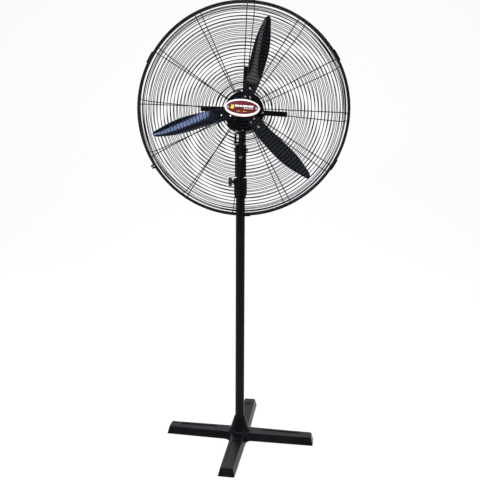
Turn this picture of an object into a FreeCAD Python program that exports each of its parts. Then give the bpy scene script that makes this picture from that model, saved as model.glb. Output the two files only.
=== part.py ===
import FreeCAD, Part
import math
import os
import Sketcher
from FreeCAD import Vector as V

# Industrial pedestal fan, 30 inch class: cast cross base, two-stage round
# pole, tilting neck, oscillating motor head with a worm-driven crank, three
# aluminium blades in a two-piece wire guard.
#
# Frame: origin on the floor under the pole, +Z up, the fan blows towards -Y.
# The head has its own turned frame: x to the right seen from the front, y up,
# and f forward along the shaft (f = -Y of the object).

doc = FreeCAD.newDocument("PedestalFan")
sheet = doc.addObject("Spreadsheet::Sheet", "Sizes")


class Dim:
    """A number and the sheet expression that gives it."""

    def __init__(self, value, text):
        self.v, self.e = float(value), text

    def _two(self, other, sign, swap=False):
        a, b = (other, self) if swap else (self, other)
        av, bv = val(a), val(b)
        ae = a.e if isinstance(a, Dim) else repr(float(a))
        be = b.e if isinstance(b, Dim) else repr(float(b))
        got = {"+": av + bv, "-": av - bv, "*": av * bv, "/": av / bv if bv else 0.0}[sign]
        return Dim(got, "(%s %s %s)" % (ae, sign, be))

    def __add__(self, o):
        return self._two(o, "+")

    def __radd__(self, o):
        return self._two(o, "+", True)

    def __sub__(self, o):
        return self._two(o, "-")

    def __rsub__(self, o):
        return self._two(o, "-", True)

    def __mul__(self, o):
        return self._two(o, "*")

    def __rmul__(self, o):
        return self._two(o, "*", True)

    def __truediv__(self, o):
        return self._two(o, "/")

    def __neg__(self):
        return self._two(-1.0, "*")


def val(x):
    return x.v if isinstance(x, Dim) else float(x)


SIZES = [
    ("pole_od", 38, "lower pole, outer diameter"),
    ("pole_wall", 2, "lower pole, wall"),
    ("pole_foot", 40, "height of the lower pole's bottom end"),
    ("pole_top", 1060, "height of the lower pole's top end"),
    ("tube_od", 28.6, "inner tube, outer diameter"),
    ("tube_wall", 2.3, "inner tube, wall"),
    ("tube_foot", 620, "inner tube, bottom end at the lowest setting"),
    ("tube_top", 1212, "inner tube, top end at the lowest setting"),
    ("collar_foot", 1035, "clamp collar, bottom"),
    ("collar_step", 1047, "clamp collar, step to the larger diameter"),
    ("collar_top", 1118, "clamp collar, top"),
    ("collar_od", 54, "clamp collar, outer diameter"),
    ("clamp_height", 1101.4, "axis of the clamp handle"),
    ("sleeve_od", 47.5, "neck sleeve, outer diameter"),
    ("sleeve_foot", 1122, "neck sleeve, bottom"),
    ("sleeve_top", 1257, "neck sleeve, top of the fork"),
    ("tilt_height", 1230, "axis of the tilt bolt"),
    ("tilt_bolt_od", 9.96, "tilt bolt, shank diameter"),
    ("swing_x", 7, "side offset of the swing axis from the pole axis"),
    ("spindle_od", 14, "swing spindle, diameter"),
    ("head_x", 15, "side offset of the shaft axis from the pole axis"),
    ("head_z", 1384, "height of the shaft axis"),
    ("motor_od", 160, "motor housing, outer diameter"),
    ("motor_front", 72, "f of the motor's front face"),
    ("motor_rear", -30, "f of the motor's rear face"),
    ("motor_joint", 20, "f of the joint between the two housings"),
    ("shaft_od", 15, "motor shaft at the bearings"),
    ("bearing_od", 35, "ball bearings, outer diameter"),
    ("bearing_width", 11, "ball bearings, width"),
    ("rotor_od", 90.8, "rotor core, outer diameter"),
    ("stator_bore", 92, "stator core, bore"),
    ("core_length", 45, "stator and rotor core length"),
    ("rim_f", 160, "f of the plane where the two guards meet"),
    ("rim_od", 808, "rim band, outer diameter"),
    ("rib_wire", 3.4, "guard ribs, wire diameter"),
    ("ring_wire", 2.6, "guard rings, wire diameter"),
    ("rim_wire", 5.0, "guard rim wires, diameter"),
    ("ring_pitch", 12.9, "spacing of the guard rings"),
    ("rib_rim_r", 393.4, "rib radius on the side of the guard"),
    ("front_face_f", 249.2, "f of the front guard's ribs at the centre"),
    ("front_edge_f", 236, "f of the front guard's face carried to its side"),
    ("rear_face_f", 76.7, "f of the rear guard's ribs"),
    ("guard_turn", -4, "turn of the bracket and badge about the shaft, degrees"),
    ("front_turn", -2.4, "turn of the front guard's ribs about the shaft, degrees"),
    ("rear_turn", -5.9, "turn of the rear guard's ribs about the shaft, degrees"),
    ("corner_r", 50, "rounding between a guard's face and side"),
    ("bar_reach", 172, "guard bracket, reach of each bar"),
    ("bar_width", 20, "guard bracket, width of each bar"),
    ("bar_thick", 3, "guard bracket, thickness"),
    ("blade_f", 135, "f of the blade axes"),
    ("blade_tip_r", 364, "blade tip radius"),
    ("blade_thick", 2.5, "blade sheet thickness"),
    ("blade_turn", 74.9, "angle of the first blade at rest, degrees"),
    ("foot_reach", 315, "base arms, reach at the floor"),
    ("arm_half", 32, "base arms, half width at the tip, at the floor"),
    ("root_half", 36, "base arms, half width at the root"),
    ("arm_low", 2, "underside of the base casting"),
    ("arm_top", 33, "top of the arms"),
    ("arm_draft", 14.4, "draft of the arms' sides, degrees"),
    ("cone_top", 95, "top of the base socket"),
    ("base_turn", -7.3, "turn of the base against the head, degrees"),
    ("badge_long", 129, "badge, length"),
    ("badge_high", 67, "badge, height"),
    ("worm_module", 1.25, "worm and worm wheel, module"),
    ("wheel_teeth", 30, "worm wheel, teeth"),
    ("worm_pitch_od", 13, "worm, pitch diameter"),
    ("pinion_teeth", 12, "pinion, teeth"),
    ("gear_teeth", 42, "output gear, teeth"),
    ("crank_r", 19.8, "crank pin radius"),
    ("lug_r", 28, "neck pin's distance from the swing axis"),
]


class D:
    pass


for row, (name, number, note) in enumerate(SIZES, 1):
    sheet.set("A%d" % row, name)
    sheet.set("B%d" % row, str(number))
    sheet.set("C%d" % row, note)
    sheet.setAlias("B%d" % row, name)
    setattr(D, name, Dim(number, "Sizes." + name))
doc.recompute()

NODES = []
RX90 = FreeCAD.Rotation(V(1, 0, 0), 90)
NONE = FreeCAD.Rotation()


def bind(obj, prop, x):
    setattr(obj, prop, val(x))
    if isinstance(x, Dim):
        obj.setExpression(prop, x.e)


def place(obj, at=(0, 0, 0), rot=NONE):
    obj.Placement = FreeCAD.Placement(V(*[val(c) for c in at]), rot)
    for axis, c in zip("xyz", at):
        if isinstance(c, Dim):
            obj.setExpression("Placement.Base." + axis, c.e)
    return obj


def on_head(obj, x=0, y=0, f=0, rot=NONE):
    """Place an object drawn in the head's turned frame."""
    return place(obj, (D.head_x + x, -1 * Dim(val(f), f.e if isinstance(f, Dim) else repr(val(f))), D.head_z + y), RX90.multiply(rot))


def on_base(obj, at=(0, 0, 0), rot=NONE):
    """Place an object drawn in the base's own frame, turned about the pole."""
    turn = FreeCAD.Rotation(V(0, 0, 1), D.base_turn.v)
    obj.Placement = FreeCAD.Placement(turn.multVec(V(*[val(c) for c in at])), turn.multiply(rot))
    return obj


def node(name, obj):
    obj.Label = name
    NODES.append((name, obj))
    return obj


def cyl(name, r, h, at=(0, 0, 0), rot=NONE):
    o = doc.addObject("Part::Cylinder", name)
    bind(o, "Radius", r)
    bind(o, "Height", h)
    return place(o, at, rot)


def box(name, size, at=(0, 0, 0), rot=NONE):
    o = doc.addObject("Part::Box", name)
    for prop, x in zip(("Length", "Width", "Height"), size):
        bind(o, prop, x)
    return place(o, at, rot)


def prism(name, r, h, at=(0, 0, 0), rot=NONE):
    o = doc.addObject("Part::Prism", name)
    o.Polygon = 6
    bind(o, "Circumradius", r)
    bind(o, "Height", h)
    return place(o, at, rot)


def ball(name, r, at=(0, 0, 0)):
    o = doc.addObject("Part::Sphere", name)
    bind(o, "Radius", r)
    return place(o, at)


def fuse(name, *objs):
    o = doc.addObject("Part::MultiFuse", name)
    o.Shapes = list(objs)
    return o


def cut(name, base, *tools):
    tool = tools[0] if len(tools) == 1 else fuse(name + "_tools", *tools)
    o = doc.addObject("Part::Cut", name)
    o.Base, o.Tool = base, tool
    return o


def common(name, *objs):
    o = doc.addObject("Part::MultiCommon", name)
    o.Shapes = list(objs)
    return o


def sketch(body, name, role, pts):
    """A closed polygon whose every corner is dimensioned from the origin."""
    sk = body.newObject("Sketcher::SketchObject", name)
    plane = [p for p in body.Origin.OriginFeatures if p.Role == role][0]
    sk.AttachmentSupport = [(plane, "")]
    sk.MapMode = "FlatFace"
    n = len(pts)
    for i in range(n):
        a, b = pts[i], pts[(i + 1) % n]
        sk.addGeometry(Part.LineSegment(V(val(a[0]), val(a[1]), 0), V(val(b[0]), val(b[1]), 0)), False)
    for i in range(n):
        sk.addConstraint(Sketcher.Constraint("Coincident", i, 2, (i + 1) % n, 1))
    for i, p in enumerate(pts):
        for kind, c in zip(("DistanceX", "DistanceY"), p):
            k = sk.addConstraint(Sketcher.Constraint(kind, i, 1, val(c)))
            if isinstance(c, Dim):
                sk.setExpression("Constraints[%d]" % k, c.e)
    return sk


def turned(name, pts):
    """A turned piece: profile in (radius, height), revolved about its own Z."""
    b = doc.addObject("PartDesign::Body", name)
    sk = sketch(b, name + "_profile", "XZ_Plane", pts)
    r = b.newObject("PartDesign::Revolution", name + "_turned")
    r.Profile = sk
    r.ReferenceAxis = (sk, ["V_Axis"])
    r.Angle = 360
    return b


def padded(name, pts, length, taper=None):
    b = doc.addObject("PartDesign::Body", name)
    sk = sketch(b, name + "_outline", "XY_Plane", pts)
    p = b.newObject("PartDesign::Pad", name + "_pad")
    p.Profile = sk
    bind(p, "Length", length)
    if taper is not None:
        bind(p, "TaperAngle", taper)
    return b, p


def made(name, shape, at=None):
    """A piece whose shape is computed here from the sheet's numbers."""
    o = doc.addObject("Part::Feature", name)
    o.Shape = shape
    if at is not None:
        o.Placement = at
    return o


def copies(name, source, spots):
    """Several separate solids of one fastener, in one node."""
    doc.recompute()
    shape = source.Shape.copy()
    own = source.Placement
    out = []
    for spot in spots:
        s = shape.copy()
        s.Placement = spot.multiply(own)
        out.append(s)
    return made(name, Part.makeCompound(out))


HEAD = FreeCAD.Placement(V(D.head_x.v, 0, D.head_z.v), RX90)


def spin_z(deg):
    return FreeCAD.Placement(V(0, 0, 0), FreeCAD.Rotation(V(0, 0, 1), deg))


# ------------------------------------------------------------------ the base
L, w, c = D.foot_reach, D.arm_half, D.root_half
outline = [(L, -w), (L, w), (c, c), (w, L), (-w, L), (-c, c), (-L, w), (-L, -w), (-c, -c), (-w, -L), (w, -L), (c, -c)]
cross, cross_pad = padded("cross", outline, D.arm_top - D.arm_low, -1 * D.arm_draft)
doc.recompute()
if cross_pad.Shape.BoundBox.XMax > D.foot_reach.v + 1:
    bind(cross_pad, "TaperAngle", D.arm_draft)
    doc.recompute()


def edges_where(shape, test):
    return ["Edge%d" % (i + 1) for i, e in enumerate(shape.Edges) if test(e)]


def upright_at(e, r_low, r_high):
    b = e.BoundBox
    r = math.hypot((b.XMin + b.XMax) / 2, (b.YMin + b.YMax) / 2)
    return b.ZLength > 5 and r_low < r < r_high


corners = cross.newObject("PartDesign::Fillet", "cross_corners")
corners.Base = (cross_pad, edges_where(cross_pad.Shape, lambda e: upright_at(e, 20, 80)))
corners.Radius = 26
doc.recompute()
tips = cross.newObject("PartDesign::Fillet", "cross_tips")
tips.Base = (corners, edges_where(corners.Shape, lambda e: upright_at(e, 200, 400)))
tips.Radius = 5
doc.recompute()
top_z = (D.arm_top - D.arm_low).v
rims = cross.newObject("PartDesign::Fillet", "cross_top")
rims.Base = (tips, edges_where(tips.Shape, lambda e: e.BoundBox.ZMin > top_z - 0.01))
rims.Radius = 2.5
doc.recompute()
place(cross, (0, 0, D.arm_low))

socket = turned("socket", [(0, 28), (48, 28), (48, 34.5), (45, 37), (40, 40), (23.4, D.cone_top - 3), (21.6, D.cone_top), (D.pole_od / 2 + 0.06, D.cone_top), (D.pole_od / 2 + 0.06, D.pole_foot), (0, D.pole_foot)])
recesses = []
for k in range(4):
    turn = FreeCAD.Rotation(V(0, 0, 1), 90 * k)
    recesses.append(box("recess%d" % k, (160, 27, 6), tuple(turn.multVec(V(98, -13.5, 30.6))), turn))
hollow_x = box("hollow_x", (540, 42, D.arm_top - 7 - D.arm_low), (-270, -21, D.arm_low))
hollow_y = box("hollow_y", (42, 540, D.arm_top - 7 - D.arm_low), (-21, -270, D.arm_low))
centre_post = cyl("centre_post", 30, 60)
hollow = cut("hollow", fuse("hollow_arms", hollow_x, hollow_y), centre_post)
hub_floor = cyl("hub_floor", 29.9, 10)
SET = [FreeCAD.Rotation(V(0, 0, 1), 97.3 + a).multiply(FreeCAD.Rotation(V(0, 1, 0), 90)) for a in (-28, 28)]
set_ways = [cyl("set_way%d" % i, 4.0, 30, (0, 0, 76), r.multiply(NONE)) for i, r in enumerate(SET)]
foot_seats = []
for k in range(4):
    turn = FreeCAD.Rotation(V(0, 0, 1), 90 * k)
    foot_seats.append(cyl("foot_seat%d" % k, 12.05, 6.2, tuple(turn.multVec(V(291, 0, 0)))))
casting = cut("casting", fuse("cross_and_socket", cross, socket, hub_floor), hollow, *(recesses + foot_seats + set_ways))
node("base_casting", on_base(casting))

foot = turned("foot_pad", [(0, 0), (11, 0), (12, 1), (12, 6.2), (0, 6.2)])
doc.recompute()
turned_base = FreeCAD.Placement(V(0, 0, 0), FreeCAD.Rotation(V(0, 0, 1), D.base_turn.v))
feet = copies("feet", foot, [turned_base.multiply(spin_z(90 * k)).multiply(FreeCAD.Placement(V(291, 0, 0), NONE)) for k in range(4)])
node("base_feet", feet)

set_screw = turned("set_screw", [(0, 0), (3, 0), (3.97, 1), (3.97, 8.6), (3.4, 9.2), (2.4, 9.2), (2.4, 5.2), (0, 5.2)])
doc.recompute()
node("pole_set_screws", copies("set_screws", set_screw, [turned_base.multiply(FreeCAD.Placement(V(0, 0, 76), r)).multiply(FreeCAD.Placement(V(0, 0, D.pole_od.v / 2 + 0.02), NONE)) for r in SET]))
pole = turned("pole", [(D.pole_od / 2 - D.pole_wall, D.pole_foot), (D.pole_od / 2, D.pole_foot), (D.pole_od / 2, D.pole_top), (D.pole_od / 2 - D.pole_wall, D.pole_top)])
node("lower_pole", pole)
bush = turned("bush", [(D.tube_od / 2 + 0.05, 1010), (D.pole_od / 2 - D.pole_wall - 0.04, 1010), (D.pole_od / 2 - D.pole_wall - 0.04, 1058), (D.tube_od / 2 + 0.05, 1058)])
node("pole_bush", bush)

# ------------------------------------------------------- the height clamp
ring = turned("collar_ring", [
    (D.pole_od / 2 + 0.05, D.collar_foot), (D.collar_od / 2 - 4.5, D.collar_foot), (D.collar_od / 2 - 3.4, D.collar_foot + 1.2), (D.collar_od / 2 - 3.4, D.collar_step - 1),
    (D.collar_od / 2 - 1.5, D.collar_step), (D.collar_od / 2, D.collar_step + 1.8), (D.collar_od / 2, D.collar_top - 2), (D.collar_od / 2 - 2, D.collar_top),
    (D.tube_od / 2 + 0.3, D.collar_top), (D.tube_od / 2 + 0.3, D.pole_top + 0.6), (D.pole_od / 2 + 0.05, D.pole_top + 0.6)])
ring_boss = cyl("collar_boss", 8.5, 8, (-23, 0, D.clamp_height), FreeCAD.Rotation(V(0, 1, 0), -90))
ring_hole = cyl("collar_hole", 4.05, 30, (-10, 0, D.clamp_height), FreeCAD.Rotation(V(0, 1, 0), -90))
node("clamp_collar", cut("collar", fuse("collar_solid", ring, ring_boss), ring_hole))
LEFT = FreeCAD.Rotation(V(0, 1, 0), -90)
pad = cyl("pad", 3.9, 3, (-1 * D.tube_od / 2 - 0.06, 0, D.clamp_height), LEFT)
node("clamp_pad", pad)
handle_screw = cyl("handle_screw", 3.97, 22, (-17.4, 0, D.clamp_height), LEFT)
handle_neck = cyl("handle_neck", 7, 4.4, (-32.4, 0, D.clamp_height), LEFT)
handle_disc = turned("handle_disc", [(0, 0), (15.5, 0), (18, 2), (18, 10.5), (15.5, 13), (9, 14), (0, 14.3)])
place(handle_disc, (-35.7, 0, D.clamp_height), LEFT)
scallops = []
for k in range(6):
    a = math.radians(60 * k)
    scallops.append(cyl("scallop%d" % k, 6.2, 20, (-34, 21.5 * math.cos(a), D.clamp_height + 21.5 * math.sin(a)), LEFT))
node("clamp_handle", fuse("handle", handle_screw, handle_neck, cut("handle_head", handle_disc, *scallops)))

# ------------------------------------------------- the sliding mast and neck
tube = turned("tube", [(D.tube_od / 2 - D.tube_wall, D.tube_foot), (D.tube_od / 2, D.tube_foot), (D.tube_od / 2, D.tube_top), (D.tube_od / 2 - D.tube_wall, D.tube_top)])
node("inner_tube", tube)
guide = turned("guide", [(D.tube_od / 2 + 0.02, D.tube_foot), (D.pole_od / 2 - D.pole_wall - 0.09, D.tube_foot + 1), (D.pole_od / 2 - D.pole_wall - 0.09, D.tube_foot + 38.5), (D.tube_od / 2 + 0.02, D.tube_foot + 39.5)])
node("tube_guide", guide)

sleeve_solid = turned("sleeve_solid", [(0, D.tube_top), (D.tube_od / 2 + 0.03, D.tube_top), (D.tube_od / 2 + 0.03, D.sleeve_foot), (D.sleeve_od / 2 - 1.5, D.sleeve_foot), (D.sleeve_od / 2, D.sleeve_foot + 1.5), (D.sleeve_od / 2, D.sleeve_top), (0, D.sleeve_top)])
fork_slot = box("fork_slot", (16.6, 60, 60), (-8.3, -30, D.tilt_height - 16))
fork_round = cut("fork_round", box("fork_block", (60, 60, 40), (-30, -30, D.tilt_height)), cyl("fork_disc", 27, 70, (-35, 0, D.tilt_height), FreeCAD.Rotation(V(0, 1, 0), 90)))
fork_hole = cyl("fork_hole", D.tilt_bolt_od / 2 + 0.03, 60, (-30, 0, D.tilt_height), FreeCAD.Rotation(V(0, 1, 0), 90))
set_hole = cyl("set_hole", 4.0, 20, (0, -10, 1205), FreeCAD.Rotation(V(1, 0, 0), 90))
node("neck_sleeve", cut("sleeve", sleeve_solid, fork_slot, fork_round, fork_hole, set_hole))
FRONT = FreeCAD.Rotation(V(1, 0, 0), 90)
RIGHT = FreeCAD.Rotation(V(0, 1, 0), 90)
sleeve_screw = turned("sleeve_screw_b", [(0, 0), (3.97, 0), (3.97, 9.5), (6.6, 9.5), (6.6, 11.6), (4.8, 13.6), (2.2, 14.0), (2.2, 11.8), (0, 11.8)])
node("sleeve_screw", place(sleeve_screw, (0, -1 * D.tube_od / 2 - 0.1, 1205), FRONT))
tilt_bolt = fuse("tilt_bolt_f", cyl("tilt_shank", D.tilt_bolt_od / 2, 55, (-23.9, 0, D.tilt_height), RIGHT), prism("tilt_head", 9.4, 3.4, (-27.2, 0, D.tilt_height), RIGHT))
node("tilt_bolt", tilt_bolt)
tilt_nut = cut("tilt_nut_f", fuse("tilt_nut_s", prism("tilt_hex", 9.4, 5.2, (25, 0, D.tilt_height), RIGHT), cyl("tilt_washer", 10.5, 1.3, (23.8, 0, D.tilt_height), RIGHT)), cyl("tilt_nut_hole", D.tilt_bolt_od / 2 + 0.02, 12, (22, 0, D.tilt_height), RIGHT))
node("tilt_nut", tilt_nut)

# The tilting neck: a tongue in the fork, a round seat, the swing spindle and
# the fixed pin that the link rod pulls on.
SX = D.swing_x
tongue = common("tongue", box("tongue_block", (16, 30, 60), (-8, -15, D.tilt_height - 30)), fuse("tongue_form", cyl("tongue_disc", 15, 16, (-8, 0, D.tilt_height), RIGHT), box("tongue_up", (16, 30, 36), (-8, -15, D.tilt_height))))
seat = cyl("seat", 15, 8, (SX, 0, 1258))
spindle = turned("spindle", [(0, 1262), (D.spindle_od / 2, 1262), (D.spindle_od / 2, 1288), (5.4, 1289), (5.4, 1295), (D.spindle_od / 2, 1296), (D.spindle_od / 2, 1304), (5.8, 1306), (0, 1306)])
place(spindle, (SX, 0, 0))
pin_arm = box("pin_arm", (D.lug_r, 12, 7.8), (SX - D.lug_r, -6, 1258))
pin_post = cyl("pin_post", 4.5, 39.5, (SX - D.lug_r, 0, 1258))
pin_pad = cyl("pin_pad", 7.5, 7.8, (SX - D.lug_r, 0, 1258))
pin_top = cyl("pin_top", 2.5, 6, (SX - D.lug_r, 0, 1297))
neck = cut("neck_f", fuse("neck_s", tongue, seat, spindle, pin_arm, pin_pad, pin_post, pin_top), cyl("neck_hole", D.tilt_bolt_od / 2 + 0.07, 40, (-20, 0, D.tilt_height), RIGHT))
node("neck_casting", neck)

# --------------------------------------------------------------- the motor
R = D.motor_od / 2
rear_shell = turned("rear_shell", [(9, D.motor_rear), (R - 4, D.motor_rear), (R, D.motor_rear + 4), (R, D.motor_joint), (R - 8, D.motor_joint), (R - 8, D.motor_rear + 6), (25, D.motor_rear + 6), (25, D.motor_rear + 16), (D.bearing_od / 2 + 0.02, D.motor_rear + 16), (D.bearing_od / 2 + 0.02, D.motor_rear + 4), (9, D.motor_rear + 4)])
on_head(rear_shell)
boss = cyl("swing_boss", 15, 46, (SX, 0, 1266.5))
boss_bore = cyl("swing_bore", 9.03, 50, (SX, 0, 1258))
inside = cyl("motor_inside", R - 8, D.motor_joint - D.motor_rear - 6, (D.head_x, -1 * D.motor_joint, D.head_z), FreeCAD.Rotation(V(1, 0, 0), -90))
screw_way = cyl("swing_screw_way", 3.03, 20, (SX, -6, 1292), FRONT)
bolt_ways = []
for k in range(4):
    a = math.radians(D.guard_turn.v + 90 * k)
    bolt_ways.append(cyl("bolt_way_r%d" % k, 2.1, 130, (D.head_x.v + 75.5 * math.cos(a), 40, D.head_z.v + 75.5 * math.sin(a)), FRONT))
rear_housing = cut("rear_housing", fuse("rear_housing_s", rear_shell, cut("boss_outside", boss, inside)), boss_bore, screw_way, *bolt_ways)
node("motor_rear_housing", rear_housing)
front_shell = turned("front_shell", [(8.5, D.motor_front), (8.5, D.motor_front - 5), (D.bearing_od / 2 + 0.02, D.motor_front - 5), (D.bearing_od / 2 + 0.02, D.motor_front - 18), (25, D.motor_front - 18), (25, D.motor_front - 7), (R - 8, D.motor_front - 7), (R - 8, D.motor_joint), (R, D.motor_joint), (R, D.motor_front - 4), (R - 4, D.motor_front), (44, D.motor_front), (42, D.motor_front - 1.5), (24, D.motor_front - 1.5), (22, D.motor_front)])
on_head(front_shell)
vents = []
for k in range(8):
    a = math.radians(22.5 + 45 * k)
    vents.append(box("vent%d" % k, (20, 7, 30), (D.head_x.v + 47 * math.cos(a) + 3.5 * math.sin(a), -50, D.head_z.v + 47 * math.sin(a) - 3.5 * math.cos(a)), RX90.multiply(FreeCAD.Rotation(V(0, 0, 1), math.degrees(a)))))
ways_front = [cyl("bolt_way_f%d" % k, 2.1, 130, (w_.Placement.Base.x, 40, w_.Placement.Base.z), FRONT) for k, w_ in enumerate(bolt_ways)]
node("motor_front_housing", cut("front_housing", front_shell, *(vents + ways_front)))
swing_bush = turned("swing_bush", [(D.spindle_od / 2 + 0.05, 1267), (9, 1267), (9, 1286.5), (D.spindle_od / 2 + 0.05, 1286.5)])
node("swing_bush", place(swing_bush, (SX, 0, 0)))
swing_screw = turned("swing_screw_b", [(0, 0), (3.0, 0), (3.0, 9.6), (5.2, 9.6), (5.2, 12), (3.8, 13.4), (1.8, 13.6), (1.8, 11.8), (0, 11.8)])
node("swing_screw", place(swing_screw, (SX, -5.8, 1292), FRONT))

core_low = -4
stator_ring = turned("stator_ring", [(D.stator_bore / 2, core_low), (R - 8.04, core_low), (R - 8.04, core_low + D.core_length), (D.stator_bore / 2, core_low + D.core_length)])
slots = []
for k in range(12):
    a = 30 * k
    rot = FreeCAD.Rotation(V(0, 0, 1), a)
    slots.append(box("slot%d" % k, (16, 5, D.core_length + 4), tuple(rot.multVec(V(D.stator_bore.v / 2 - 2, -2.5, core_low - 2))), rot))
node("stator_core", on_head(cut("stator", stator_ring, *slots)))
coil = turned("coil", [(49, 0), (63, 0), (65, 3), (62, 11), (52, 12.5), (48, 8)])
doc.recompute()
node("stator_windings", copies("windings", coil, [HEAD.multiply(FreeCAD.Placement(V(0, 0, core_low + D.core_length.v + 0.05), NONE)), HEAD.multiply(FreeCAD.Placement(V(0, 0, core_low - 0.05), FreeCAD.Rotation(V(1, 0, 0), 180)))]))


def bearing(name, f):
    a, b, wd = D.shaft_od / 2 + 0.05, D.bearing_od / 2, D.bearing_width
    p = turned(name + "_b", [(a, 0), (a + 3, 0), (a + 3.2, 0.8), (b - 3.2, 0.8), (b - 3, 0), (b, 0), (b, wd), (b - 3, wd), (b - 3.2, wd - 0.8), (a + 3.2, wd - 0.8), (a + 3, wd), (a, wd)])
    node(name, on_head(p, f=f))


bearing("front_bearing", D.motor_front - 17)
bearing("rear_bearing", D.motor_rear + 4.5)
through = turned("through_bolt", [(0, D.motor_rear - 0.5), (2, D.motor_rear - 0.5), (2, D.motor_front + D.bar_thick), (3.7, D.motor_front + D.bar_thick), (3.7, D.motor_front + D.bar_thick + 1.6), (2.6, D.motor_front + D.bar_thick + 2.8), (0, D.motor_front + D.bar_thick + 2.8)])
node("motor_through_bolts", copies("through_bolts", through, [HEAD.multiply(spin_z(D.guard_turn.v + 90 * k)).multiply(FreeCAD.Placement(V(75.5, 0, 0), NONE)) for k in range(4)]))

# ----------------------------------------------- the spinning rotor and hub
wp = D.worm_module.v * math.pi
worm_mid = -51.0
S = D.shaft_od / 2
shaft = turned("shaft", [(0, -63), (3.6, -63), (4.4, -62), (4.9, -61.9), (4.9, -40), (4.4, -39), (4.4, -34), (S, -34), (S, -14), (9, -14), (9, 54), (S, 54), (S, 150), (6, 150.9), (6, 171), (5, 172), (0, 172)])
doc.recompute()
start = worm_mid - 2.5 * wp
helix = Part.makeHelix(wp, 5 * wp, 6.5)
helix.translate(V(0, 0, start))
thread_form = Part.makePolygon([V(4.6, 0, start - 1.36), V(7.6, 0, start - 0.52), V(7.6, 0, start + 0.52), V(4.6, 0, start + 1.36), V(4.6, 0, start - 1.36)])
thread = made("worm_thread", Part.Wire(helix.Edges).makePipeShell([thread_form], True, True))
node("motor_shaft", on_head(fuse("shaft_and_worm", shaft, thread)))
rotor = turned("rotor", [(9.02, core_low), (9.02, core_low + D.core_length), (22, core_low + D.core_length), (24, core_low + D.core_length + 8), (40, core_low + D.core_length + 8), (42, core_low + D.core_length), (D.rotor_od / 2, core_low + D.core_length), (D.rotor_od / 2, core_low), (42, core_low), (40, core_low - 8), (24, core_low - 8), (22, core_low)])
node("rotor_core", on_head(rotor))

PITCH = 28.0
hub_boss = turned("hub_boss", [(S + 0.02, 116), (18, 116), (20, 118), (20, 149), (18, 151), (S + 0.02, 151)])
lugs = []
lug_holes = []
for k in range(3):
    a = D.blade_turn.v + 120 * k
    rot = FreeCAD.Rotation(V(0, 0, 1), a).multiply(FreeCAD.Rotation(V(1, 0, 0), PITCH))
    base = rot.multVec(V(14, -21, -2.5)) + V(0, 0, D.blade_f.v)
    lugs.append(box("lug%d" % k, (86, 42, 5), tuple(base), rot))
    for j, (u, v_) in enumerate(((52, -11), (52, 11), (86, 0))):
        p = rot.multVec(V(u, v_, -8)) + V(0, 0, D.blade_f.v)
        lug_holes.append(cyl("lug_hole%d_%d" % (k, j), 2.55, 20, tuple(p), rot))
hub_way = cyl("hub_way", S + 0.02, 60, (0, 0, 105))
node("blade_hub", on_head(cut("hub", fuse("hub_s", hub_boss, *lugs), hub_way, *lug_holes)))

# Blade stations: radius, how far each side reaches seen from the front (the
# side ahead anticlockwise first), pitch, camber.
STATIONS = [(46, 17, 16, 28, 0.06), (58, 21.5, 20, 28, 0.06), (70, 23.5, 23, 28, 0.06), (82, 24, 25.5, 28, 0.06), (94, 24, 27.5, 28, 0.06), (106, 23.5, 29.5, 28, 0.06), (124, 23.8, 31.5, 27.5, 1.0), (150, 25, 33, 26.5, 3.0), (190, 27, 34.8, 24.5, 4.8), (230, 28, 34.8, 22.5, 5.4), (262, 27.5, 32, 21.3, 5.0), (300, 23.5, 24.5, 20, 4.0), (330, 18, 16.5, 19, 2.8), (352, 13, 10.8, 18.3, 1.8), (D.blade_tip_r.v, 6, 6, 18, 0.8)]


def blade_section(r, ahead, behind, pitch, camber, off):
    p = math.radians(pitch)
    h = (ahead + behind) / 2 / math.cos(p)
    mid = (ahead - behind) / 2 / math.cos(p)
    t = D.blade_thick.v / 2

    def at(s, n):
        n += off
        s += mid
        return V(r, s * math.cos(p) - n * math.sin(p), D.blade_f.v + s * math.sin(p) + n * math.cos(p))

    a0, a1, a2 = at(-h, t), at(0, t - camber), at(h, t)
    b0, b1, b2 = at(-h, -t), at(0, -t - camber), at(h, -t)
    front, back = Part.Arc(a0, a1, a2).toShape(), Part.Arc(b2, b1, b0).toShape()
    return Part.Wire([front, Part.LineSegment(a2, b2).toShape(), back, Part.LineSegment(b0, a0).toShape()])


def blade_shape():
    off = 2.5 + D.blade_thick.v / 2 + 0.2
    return Part.makeLoft([blade_section(*(q + (off,))) for q in STATIONS], True, False)


blade_solid = blade_shape()
hole_rot = FreeCAD.Rotation(V(1, 0, 0), PITCH)
for u, v_ in ((52, -11), (52, 11), (86, 0)):
    p = hole_rot.multVec(V(u, v_, -8)) + V(0, 0, D.blade_f.v)
    blade_solid = blade_solid.cut(Part.makeCylinder(2.55, 20, p, hole_rot.multVec(V(0, 0, 1))))
for k, letter in enumerate("abc"):
    node("blade_" + letter, made("blade%d" % k, blade_solid.copy(), HEAD.multiply(spin_z(D.blade_turn.v + 120 * k))))
rivet = turned("rivet", [(0, -4.4), (3.6, -4.4), (4.2, -2.6), (2.5, -2.6), (2.5, 5.32), (4.4, 5.32), (3.8, 6.9), (2, 7.5), (0, 7.5)])
doc.recompute()
spots = []
for k in range(3):
    rot = FreeCAD.Rotation(V(0, 0, 1), D.blade_turn.v + 120 * k).multiply(FreeCAD.Rotation(V(1, 0, 0), PITCH))
    for u, v_ in ((52, -11), (52, 11), (86, 0)):
        spots.append(HEAD.multiply(FreeCAD.Placement(rot.multVec(V(u, v_, 0)) + V(0, 0, D.blade_f.v), rot)))
node("blade_rivets", copies("rivets", rivet, spots))
nut = cut("hub_nut_f", common("hub_nut_s", prism("hub_hex", 11, 10, (0, 0, 151.05)), turned("hub_nut_form", [(0, 151.05), (10, 151.05), (11, 152), (11, 159.6), (9.4, 161.05), (0, 161.05)])), cyl("hub_nut_hole", 6.03, 14, (0, 0, 150)))
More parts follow.
